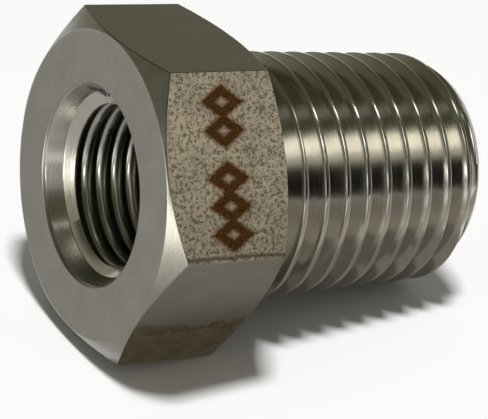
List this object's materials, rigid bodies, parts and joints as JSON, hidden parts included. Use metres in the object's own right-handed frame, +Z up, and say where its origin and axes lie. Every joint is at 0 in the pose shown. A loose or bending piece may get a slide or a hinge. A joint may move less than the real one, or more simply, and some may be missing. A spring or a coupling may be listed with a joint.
{
  "type": "hex reducing bushing",
  "caption": "Stainless hex reducing bushing: hexagon head with a tapered female pipe port, tapered male pipe thread on the shank and a waterway right through.",
  "frame": {"origin": "centre of the port's mouth, in the plane of the head's front face", "axes": "+X points from the mouth towards the male end, with the fitting's own axis dipping 7.52 degrees below it; +Z is up. The fitting lies as it comes to rest, on a flat of the head and on the first crest of the male thread."},
  "size_m": [0.0237, 0.0196, 0.0178],
  "materials": {
    "stainless_steel": "turned and milled stainless steel with a soft gloss, fine turning lines on the faces that were turned, and one flat of the head etched matt"
  },
  "bodies": {
    "root": {"hex_reducing_bushing": "stainless_steel"}
  },
  "joints": []
}
